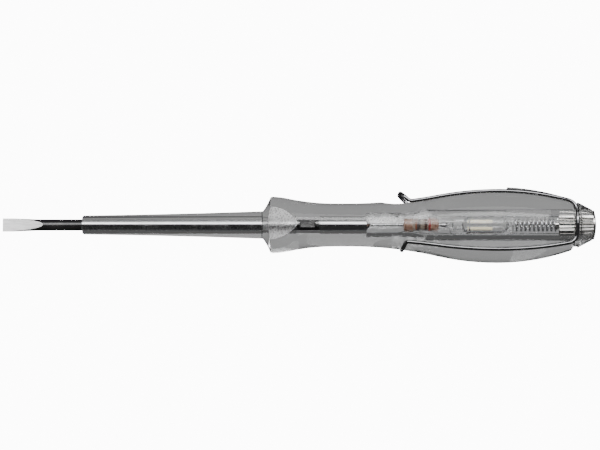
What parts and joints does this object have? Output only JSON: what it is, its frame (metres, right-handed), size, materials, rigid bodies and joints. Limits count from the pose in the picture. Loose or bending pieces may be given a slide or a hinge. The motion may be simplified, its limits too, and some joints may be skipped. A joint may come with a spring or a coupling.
{
  "type": "voltage tester screwdriver",
  "caption": "Slim slotted screwdriver with a clear waisted handle that holds a resistor, glow lamp, spring and touch contact, and a sprung wire pocket clip.",
  "frame": {"origin": "centre of the blade's tip, on the tool's axis", "axes": "+X runs back along the axis from the tip to the touch contact, +Y points to the pocket clip, +Z is square to the blade's flat and roughly to the collar's upper flat"},
  "size_m": [0.1357, 0.0174, 0.0174],
  "materials": {
    "clear_plastic": "clear moulded plastic, gloss, with frosted flats",
    "blade_steel": "polished plated steel, ground at the tip",
    "clip_steel": "bright spring wire",
    "tinned_wire": "tinned copper",
    "ceramic_white": "unglazed ceramic",
    "carbon_film": "dull resistive film",
    "resistor_lacquer": "dipped lacquer",
    "band_paint": "printed rings",
    "solder": "bright solder",
    "lamp_glass": "clear soda glass",
    "electrode_metal": "coated nickel",
    "spring_steel": "plated spring wire",
    "plug_metal": "nickel-plated brass with straight serrations"
  },
  "bodies": {
    "tester_body": {"handle": "clear_plastic", "blade": "blade_steel", "resistor_front_lead": "tinned_wire", "resistor_rear_lead": "tinned_wire", "resistor_front_cap": "tinned_wire", "resistor_rear_cap": "tinned_wire", "resistor_core": "ceramic_white", "resistor_film": "carbon_film", "resistor_coating": "resistor_lacquer", "resistor_bands": "band_paint", "solder_joint": "solder", "lamp_glass": "lamp_glass", "lamp_electrode_a": "electrode_metal", "lamp_electrode_b": "electrode_metal", "lamp_front_lead": "tinned_wire", "lamp_return_lead": "tinned_wire", "contact_spring": "spring_steel", "contact_plug": "plug_metal", "clip_grip": "clip_steel"},
    "clip_spring_arm": {"clip_arm": "clip_steel"}
  },
  "joints": [
    {"name": "clip_flex", "type": "hinge", "parent": "tester_body", "child": "clip_spring_arm", "pos_m": [0.13095, 0.003, 0], "axis": [0, 0, -1], "range_deg": [0, 4], "stiffness_Nm_per_rad": 0.5}
  ]
}
